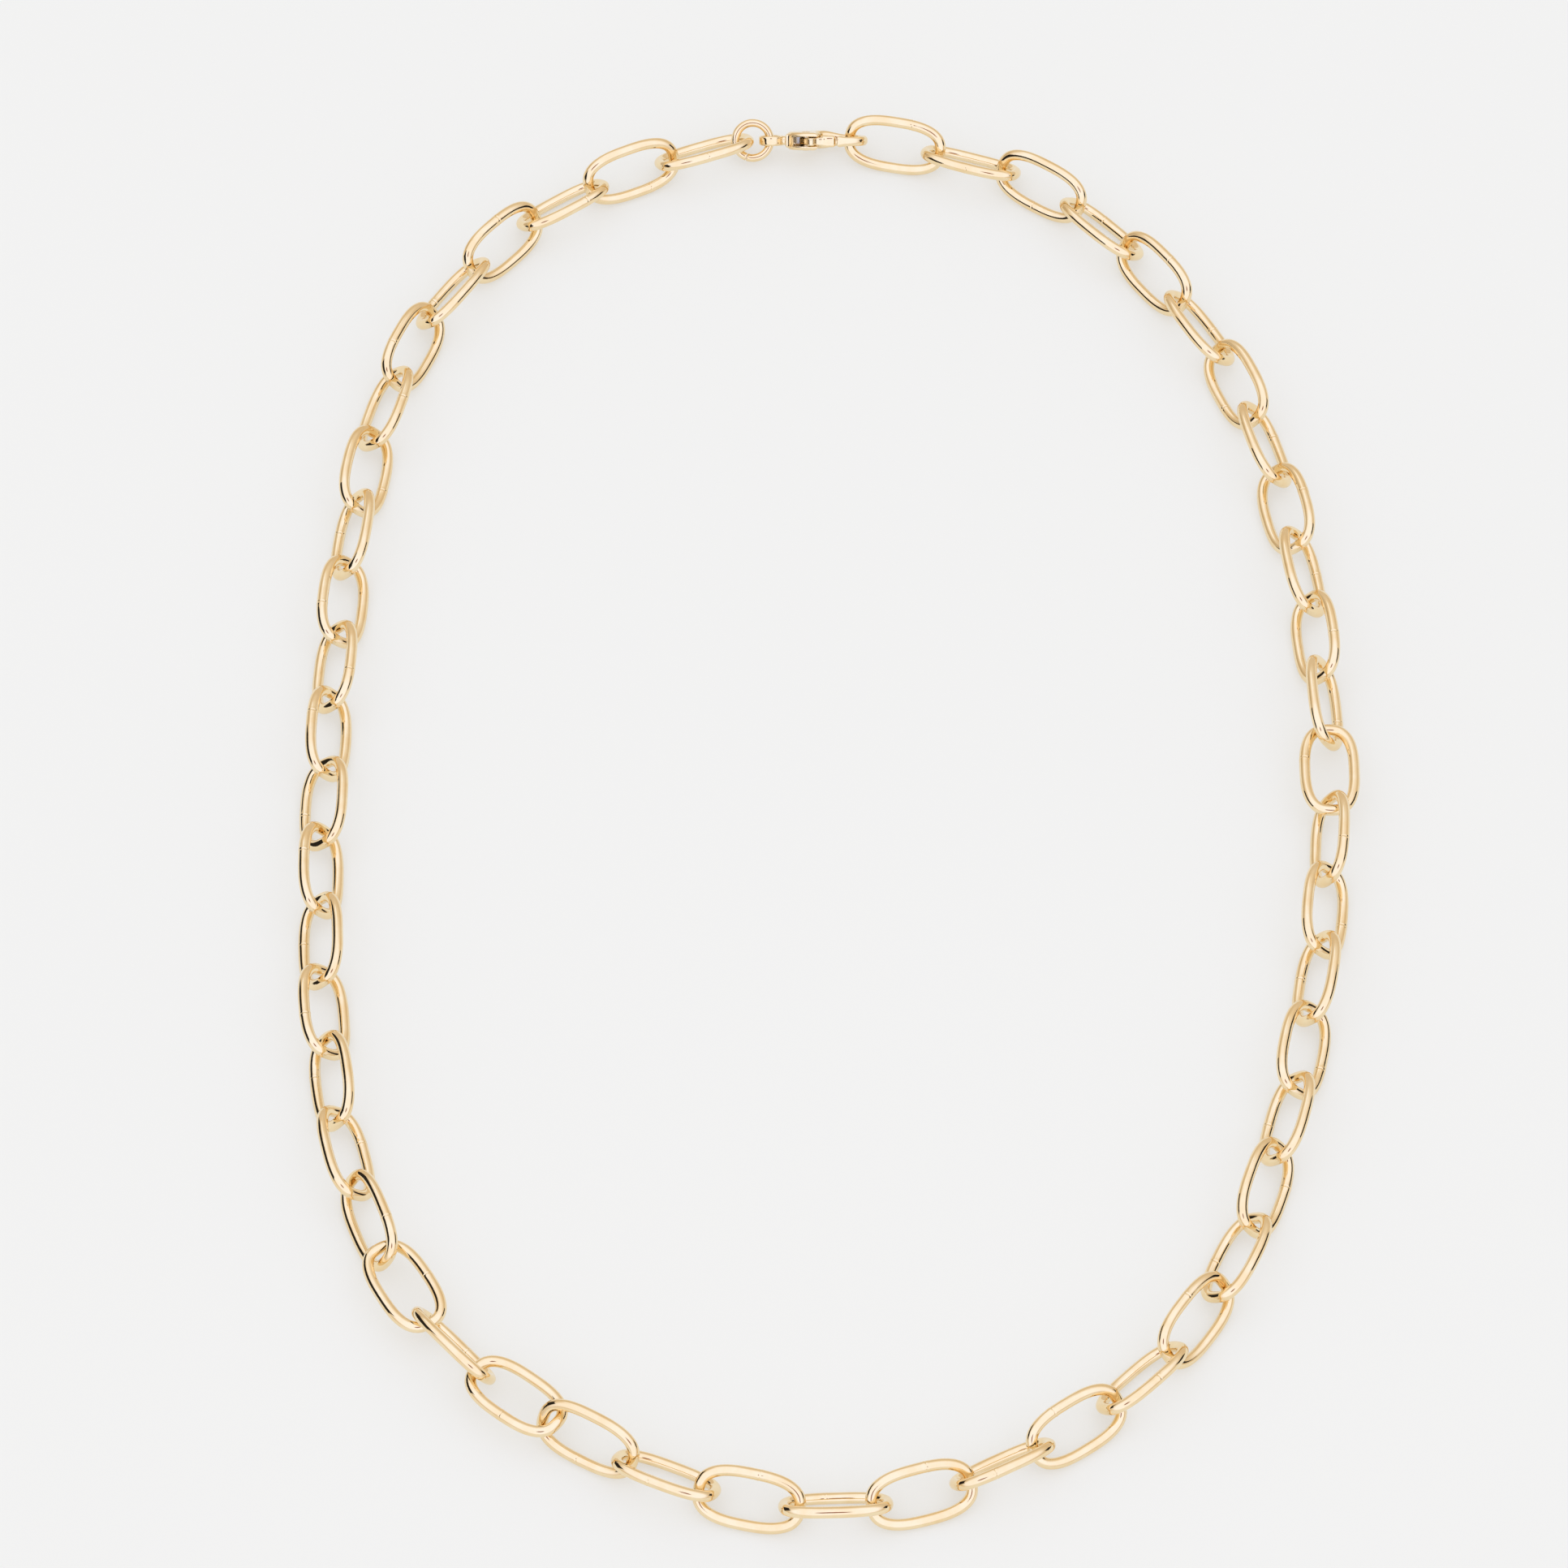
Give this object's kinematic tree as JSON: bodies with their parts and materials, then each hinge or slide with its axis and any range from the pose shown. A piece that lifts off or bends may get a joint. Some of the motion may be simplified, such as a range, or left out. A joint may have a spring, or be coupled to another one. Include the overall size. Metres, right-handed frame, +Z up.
{
  "type": "chain necklace",
  "caption": "Necklace of interlinked oval cable links in polished gold-coloured metal, closed by a jump ring and a sprung lobster clasp, lying in a closed loop.",
  "frame": {"origin": "under the middle of the necklace's bounding box, on the surface it lies on", "axes": "+Z up from the surface; +Y from the lowest link at the front of the loop towards the clasp, along the loop's longer way; +X to the right, from the jump ring's side towards the clasp's nose"},
  "size_m": [0.1118, 0.179, 0.0058],
  "materials": {
    "gold_plate": "polished pale yellow gold plate over brass wire, near-mirror, with faint solder seams and fine handling marks",
    "pin_gold": "peened pin ends, slightly paler and less polished gold plate",
    "spring_steel": "bare leaf spring steel, satin"
  },
  "bodies": {
    "link_26": {"link_26": "gold_plate"},
    "link_25": {"link_25": "gold_plate"},
    "link_24": {"link_24": "gold_plate"},
    "link_23": {"link_23": "gold_plate"},
    "link_22": {"link_22": "gold_plate"},
    "link_21": {"link_21": "gold_plate"},
    "link_20": {"link_20": "gold_plate"},
    "link_19": {"link_19": "gold_plate"},
    "link_18": {"link_18": "gold_plate"},
    "link_17": {"link_17": "gold_plate"},
    "link_16": {"link_16": "gold_plate"},
    "link_15": {"link_15": "gold_plate"},
    "link_14": {"link_14": "gold_plate"},
    "link_13": {"link_13": "gold_plate"},
    "link_12": {"link_12": "gold_plate"},
    "link_11": {"link_11": "gold_plate"},
    "link_10": {"link_10": "gold_plate"},
    "link_09": {"link_09": "gold_plate"},
    "link_08": {"link_08": "gold_plate"},
    "link_07": {"link_07": "gold_plate"},
    "link_06": {"link_06": "gold_plate"},
    "link_05": {"link_05": "gold_plate"},
    "link_04": {"link_04": "gold_plate"},
    "link_03": {"link_03": "gold_plate"},
    "link_02": {"link_02": "gold_plate"},
    "link_01": {"link_01": "gold_plate"},
    "jump_ring": {"jump_ring": "gold_plate"},
    "clasp": {"clasp_body": "gold_plate", "clasp_pin": "pin_gold", "clasp_spring": "spring_steel"},
    "clasp_lever": {"clasp_lever": "gold_plate"},
    "link_27": {"link_27": "gold_plate"},
    "link_28": {"link_28": "gold_plate"},
    "link_29": {"link_29": "gold_plate"},
    "link_30": {"link_30": "gold_plate"},
    "link_31": {"link_31": "gold_plate"},
    "link_32": {"link_32": "gold_plate"},
    "link_33": {"link_33": "gold_plate"},
    "link_34": {"link_34": "gold_plate"},
    "link_35": {"link_35": "gold_plate"},
    "link_36": {"link_36": "gold_plate"},
    "link_37": {"link_37": "gold_plate"},
    "link_38": {"link_38": "gold_plate"},
    "link_39": {"link_39": "gold_plate"},
    "link_40": {"link_40": "gold_plate"},
    "link_41": {"link_41": "gold_plate"},
    "link_42": {"link_42": "gold_plate"},
    "link_43": {"link_43": "gold_plate"},
    "link_44": {"link_44": "gold_plate"},
    "link_45": {"link_45": "gold_plate"},
    "link_46": {"link_46": "gold_plate"},
    "link_47": {"link_47": "gold_plate"},
    "link_48": {"link_48": "gold_plate"},
    "link_49": {"link_49": "gold_plate"},
    "link_50": {"link_50": "gold_plate"},
    "link_51": {"link_51": "gold_plate"}
  },
  "joints": [
    {"name": "link_25_swing", "type": "hinge", "parent": "link_26", "child": "link_25", "pos_m": [-0.00405, -0.08716, 0.00212], "axis": [-0.0419, -0.9991, -0.0029], "range_deg": [-10, 10]},
    {"name": "link_24_swing", "type": "hinge", "parent": "link_25", "child": "link_24", "pos_m": [-0.01256, -0.08522, 0.00222], "axis": [0.0913, 0.9958, 0.0024], "range_deg": [-20, 20]},
    {"name": "link_23_swing", "type": "hinge", "parent": "link_24", "child": "link_23", "pos_m": [-0.02062, -0.08182, 0.00275], "axis": [-0.1397, -0.9902, 0.0007], "range_deg": [-15, 15]},
    {"name": "link_22_swing", "type": "hinge", "parent": "link_23", "child": "link_22", "pos_m": [-0.0282, -0.07746, 0.00288], "axis": [0.1874, 0.9823, -0.0014], "range_deg": [-15, 15]},
    {"name": "link_21_swing", "type": "hinge", "parent": "link_22", "child": "link_21", "pos_m": [-0.03514, -0.07213, 0.0029], "axis": [-0.2339, -0.9722, 0.0016], "range_deg": [-20, 20]},
    {"name": "link_20_swing", "type": "hinge", "parent": "link_21", "child": "link_20", "pos_m": [-0.04102, -0.06567, 0.00288], "axis": [0.2778, 0.9606, -0.0015], "range_deg": [-20, 20]},
    {"name": "link_19_swing", "type": "hinge", "parent": "link_20", "child": "link_19", "pos_m": [-0.04545, -0.05814, 0.00275], "axis": [-0.3173, -0.9483, 0.0008], "range_deg": [-15, 15]},
    {"name": "link_18_swing", "type": "hinge", "parent": "link_19", "child": "link_18", "pos_m": [-0.04861, -0.04999, 0.00231], "axis": [0.3531, 0.9356, 0.0022], "range_deg": [-20, 20]},
    {"name": "link_17_swing", "type": "hinge", "parent": "link_18", "child": "link_17", "pos_m": [-0.05071, -0.04149, 0.0026], "axis": [-0.386, -0.9225, -0.0002], "range_deg": [-20, 20]},
    {"name": "link_16_swing", "type": "hinge", "parent": "link_17", "child": "link_16", "pos_m": [-0.05204, -0.03284, 0.00226], "axis": [0.4176, 0.9086, 0.0028], "range_deg": [-20, 20]},
    {"name": "link_15_swing", "type": "hinge", "parent": "link_16", "child": "link_15", "pos_m": [-0.05287, -0.02413, 0.00241], "axis": [-0.4494, -0.8934, -0.0018], "range_deg": [-20, 20]},
    {"name": "link_14_swing", "type": "hinge", "parent": "link_15", "child": "link_14", "pos_m": [-0.05329, -0.01539, 0.00255], "axis": [0.4818, 0.8763, 0.0008], "range_deg": [-20, 20]},
    {"name": "link_13_swing", "type": "hinge", "parent": "link_14", "child": "link_13", "pos_m": [-0.05339, -0.00664, 0.00222], "axis": [-0.5157, -0.8567, -0.0038], "range_deg": [-20, 20]},
    {"name": "link_12_swing", "type": "hinge", "parent": "link_13", "child": "link_12", "pos_m": [-0.05327, 0.00211, 0.00253], "axis": [0.5522, 0.8337, 0.001], "range_deg": [-20, 20]},
    {"name": "link_11_swing", "type": "hinge", "parent": "link_12", "child": "link_11", "pos_m": [-0.05297, 0.01086, 0.00244], "axis": [-0.5917, -0.8061, -0.0021], "range_deg": [-20, 20]},
    {"name": "link_10_swing", "type": "hinge", "parent": "link_11", "child": "link_10", "pos_m": [-0.05249, 0.0196, 0.00225], "axis": [0.6348, 0.7727, 0.0044], "range_deg": [-20, 20]},
    {"name": "link_09_swing", "type": "hinge", "parent": "link_10", "child": "link_09", "pos_m": [-0.05181, 0.02832, 0.0026], "axis": [-0.6815, -0.7319, -0.0005], "range_deg": [-20, 20]},
    {"name": "link_08_swing", "type": "hinge", "parent": "link_09", "child": "link_08", "pos_m": [-0.05087, 0.03703, 0.00233], "axis": [0.7315, 0.6818, 0.0042], "range_deg": [-20, 20]},
    {"name": "link_07_swing", "type": "hinge", "parent": "link_08", "child": "link_07", "pos_m": [-0.04946, 0.04566, 0.00233], "axis": [-0.7835, -0.6214, -0.0045], "range_deg": [-20, 20]},
    {"name": "link_06_swing", "type": "hinge", "parent": "link_07", "child": "link_06", "pos_m": [-0.04722, 0.05412, 0.00259], "axis": [0.8343, 0.5514, 0.0007], "range_deg": [-20, 20]},
    {"name": "link_05_swing", "type": "hinge", "parent": "link_06", "child": "link_05", "pos_m": [-0.04376, 0.06214, 0.00244], "axis": [-0.8803, -0.4744, -0.0037], "range_deg": [-20, 20]},
    {"name": "link_04_swing", "type": "hinge", "parent": "link_05", "child": "link_04", "pos_m": [-0.03887, 0.06939, 0.00278], "axis": [0.9189, 0.3945, -0.0031], "range_deg": [-20, 20]},
    {"name": "link_03_swing", "type": "hinge", "parent": "link_04", "child": "link_03", "pos_m": [-0.033, 0.07587, 0.00219], "axis": [-0.9523, -0.3048, -0.0118], "range_deg": [-20, 20]},
    {"name": "link_02_swing", "type": "hinge", "parent": "link_03", "child": "link_02", "pos_m": [-0.02581, 0.08083, 0.00286], "axis": [0.9748, 0.2232, -0.0074], "range_deg": [-20, 20]},
    {"name": "link_01_swing", "type": "hinge", "parent": "link_02", "child": "link_01", "pos_m": [-0.01785, 0.08445, 0.00219], "axis": [-0.9897, -0.1419, -0.021], "range_deg": [-20, 20]},
    {"name": "jump_ring_swing", "type": "hinge", "parent": "link_01", "child": "jump_ring", "pos_m": [-0.00963, 0.08746, 0.00238], "axis": [0.9998, 0.0015, 0.02], "range_deg": [-20, 20]},
    {"name": "clasp_swing", "type": "hinge", "parent": "jump_ring", "child": "clasp", "pos_m": [-0.00628, 0.08746, 0.00238], "axis": [-0.9996, -0.0021, -0.027], "range_deg": [-20, 20]},
    {"name": "clasp_lever_press", "type": "hinge", "parent": "clasp", "child": "clasp_lever", "pos_m": [-0.00238, 0.08695, 0.00293], "axis": [0, 0.7314, 0.682], "range_deg": [0, 25], "stiffness_Nm_per_rad": 0.004, "springref_deg": -6.88, "deforming": ["clasp_spring"]},
    {"name": "link_27_swing", "type": "hinge", "parent": "link_26", "child": "link_27", "pos_m": [0.00467, -0.08685, 0.00212], "axis": [0.0081, -1, -0.003], "range_deg": [-10, 10]},
    {"name": "link_28_swing", "type": "hinge", "parent": "link_27", "child": "link_28", "pos_m": [0.01306, -0.08443, 0.00261], "axis": [-0.0569, 0.9984, 0.0002], "range_deg": [-20, 20]},
    {"name": "link_29_swing", "type": "hinge", "parent": "link_28", "child": "link_29", "pos_m": [0.02084, -0.08043, 0.00228], "axis": [0.1041, -0.9946, -0.0021], "range_deg": [-20, 20]},
    {"name": "link_30_swing", "type": "hinge", "parent": "link_29", "child": "link_30", "pos_m": [0.02803, -0.07545, 0.00238], "axis": [-0.1502, 0.9886, 0.0015], "range_deg": [-20, 20]},
    {"name": "link_31_swing", "type": "hinge", "parent": "link_30", "child": "link_31", "pos_m": [0.03427, -0.06933, 0.00257], "axis": [0.1939, -0.981, -0.0004], "range_deg": [-20, 20]},
    {"name": "link_32_swing", "type": "hinge", "parent": "link_31", "child": "link_32", "pos_m": [0.03923, -0.06214, 0.00223], "axis": [-0.2337, 0.9723, 0.0027], "range_deg": [-20, 20]},
    {"name": "link_33_swing", "type": "hinge", "parent": "link_32", "child": "link_33", "pos_m": [0.04288, -0.05419, 0.0025], "axis": [0.2692, -0.9631, -0.0009], "range_deg": [-20, 20]},
    {"name": "link_34_swing", "type": "hinge", "parent": "link_33", "child": "link_34", "pos_m": [0.04565, -0.04589, 0.00247], "axis": [-0.3028, 0.953, 0.0012], "range_deg": [-20, 20]},
    {"name": "link_35_swing", "type": "hinge", "parent": "link_34", "child": "link_35", "pos_m": [0.04789, -0.03743, 0.00224], "axis": [0.3364, -0.9417, -0.003], "range_deg": [-20, 20]},
    {"name": "link_36_swing", "type": "hinge", "parent": "link_35", "child": "link_36", "pos_m": [0.04971, -0.02887, 0.00259], "axis": [-0.3707, 0.9288, 0.0004], "range_deg": [-20, 20]},
    {"name": "link_37_swing", "type": "hinge", "parent": "link_36", "child": "link_37", "pos_m": [0.05115, -0.02024, 0.00237], "axis": [0.4062, -0.9138, -0.0022], "range_deg": [-20, 20]},
    {"name": "link_38_swing", "type": "hinge", "parent": "link_37", "child": "link_38", "pos_m": [0.05219, -0.01155, 0.00281], "axis": [-0.4429, 0.8966, -0.0015], "range_deg": [-20, 20]},
    {"name": "link_39_swing", "type": "hinge", "parent": "link_38", "child": "link_39", "pos_m": [0.05277, -0.00282, 0.00288], "axis": [0.4807, -0.8769, 0.0024], "range_deg": [-15, 15]},
    {"name": "link_40_swing", "type": "hinge", "parent": "link_39", "child": "link_40", "pos_m": [0.05281, 0.00594, 0.00281], "axis": [-0.5192, 0.8546, -0.0018], "range_deg": [-15, 15]},
    {"name": "link_41_swing", "type": "hinge", "parent": "link_40", "child": "link_41", "pos_m": [0.05239, 0.01468, 0.00251], "axis": [0.5593, -0.829, -0.0015], "range_deg": [-20, 20]},
    {"name": "link_42_swing", "type": "hinge", "parent": "link_41", "child": "link_42", "pos_m": [0.05155, 0.02339, 0.00255], "axis": [-0.6017, 0.7987, 0.0011], "range_deg": [-20, 20]},
    {"name": "link_43_swing", "type": "hinge", "parent": "link_42", "child": "link_43", "pos_m": [0.0503, 0.03205, 0.00222], "axis": [0.647, -0.7625, -0.0057], "range_deg": [-20, 20]},
    {"name": "link_44_swing", "type": "hinge", "parent": "link_43", "child": "link_44", "pos_m": [0.04858, 0.04063, 0.00253], "axis": [-0.6952, 0.7188, 0.0016], "range_deg": [-20, 20]},
    {"name": "link_45_swing", "type": "hinge", "parent": "link_44", "child": "link_45", "pos_m": [0.04625, 0.04906, 0.00244], "axis": [0.7455, -0.6665, -0.0034], "range_deg": [-20, 20]},
    {"name": "link_46_swing", "type": "hinge", "parent": "link_45", "child": "link_46", "pos_m": [0.04294, 0.05716, 0.00237], "axis": [-0.7944, 0.6073, 0.0053], "range_deg": [-20, 20]},
    {"name": "link_47_swing", "type": "hinge", "parent": "link_46", "child": "link_47", "pos_m": [0.03861, 0.06476, 0.00275], "axis": [0.8411, -0.5408, 0.0028], "range_deg": [-20, 20]},
    {"name": "link_48_swing", "type": "hinge", "parent": "link_47", "child": "link_48", "pos_m": [0.03338, 0.07177, 0.00225], "axis": [-0.8865, 0.4627, 0.0113], "range_deg": [-20, 20]},
    {"name": "link_49_swing", "type": "hinge", "parent": "link_48", "child": "link_49", "pos_m": [0.02736, 0.07812, 0.00281], "axis": [0.932, -0.3623, 0.0066], "range_deg": [-20, 20]},
    {"name": "link_50_swing", "type": "hinge", "parent": "link_49", "child": "link_50", "pos_m": [0.02014, 0.08299, 0.00219], "axis": [-0.966, 0.2572, 0.0256], "range_deg": [-20, 20]},
    {"name": "link_51_swing", "type": "hinge", "parent": "link_50", "child": "link_51", "pos_m": [0.01184, 0.08569, 0.00264], "axis": [0.9788, -0.205, 0], "range_deg": [-20, 20]}
  ]
}
